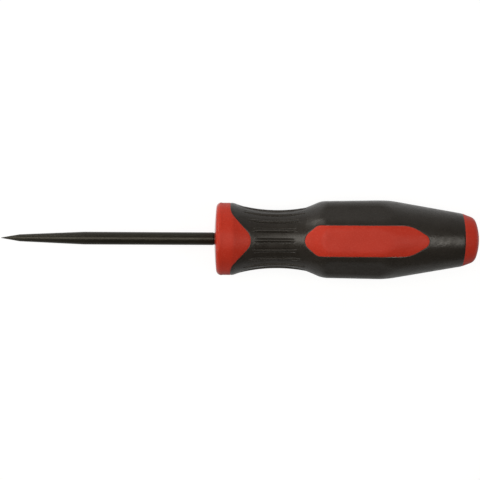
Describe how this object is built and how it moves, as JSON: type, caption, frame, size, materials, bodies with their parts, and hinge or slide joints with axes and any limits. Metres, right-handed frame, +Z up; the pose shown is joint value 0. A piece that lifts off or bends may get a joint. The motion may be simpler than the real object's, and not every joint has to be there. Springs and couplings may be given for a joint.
{
  "type": "pick scribe",
  "caption": "Straight steel pick scribe with a needle point, in a two-colour handle: ribbed waist, soft flats, red collar with lobes, red windows and red butt cap.",
  "frame": {"origin": "on the floor, under the middle of the tool as it lies on its collar and one of its flats", "axes": "+X from the point towards the butt, +Z up; the tool's own axis climbs 0.97 degrees from +X towards +Z, because the barrel is thicker than the collar"},
  "size_m": [0.21, 0.0346, 0.0345],
  "materials": {
    "blade": "black oxide, satin, worn a little brighter on the ground point",
    "core": "satin moulded plastic",
    "grip": "soft-touch rubber, fine matt grain"
  },
  "bodies": {
    "root": {"pick_blade": "blade", "handle_core": "core", "soft_grip": "grip"}
  },
  "joints": []
}
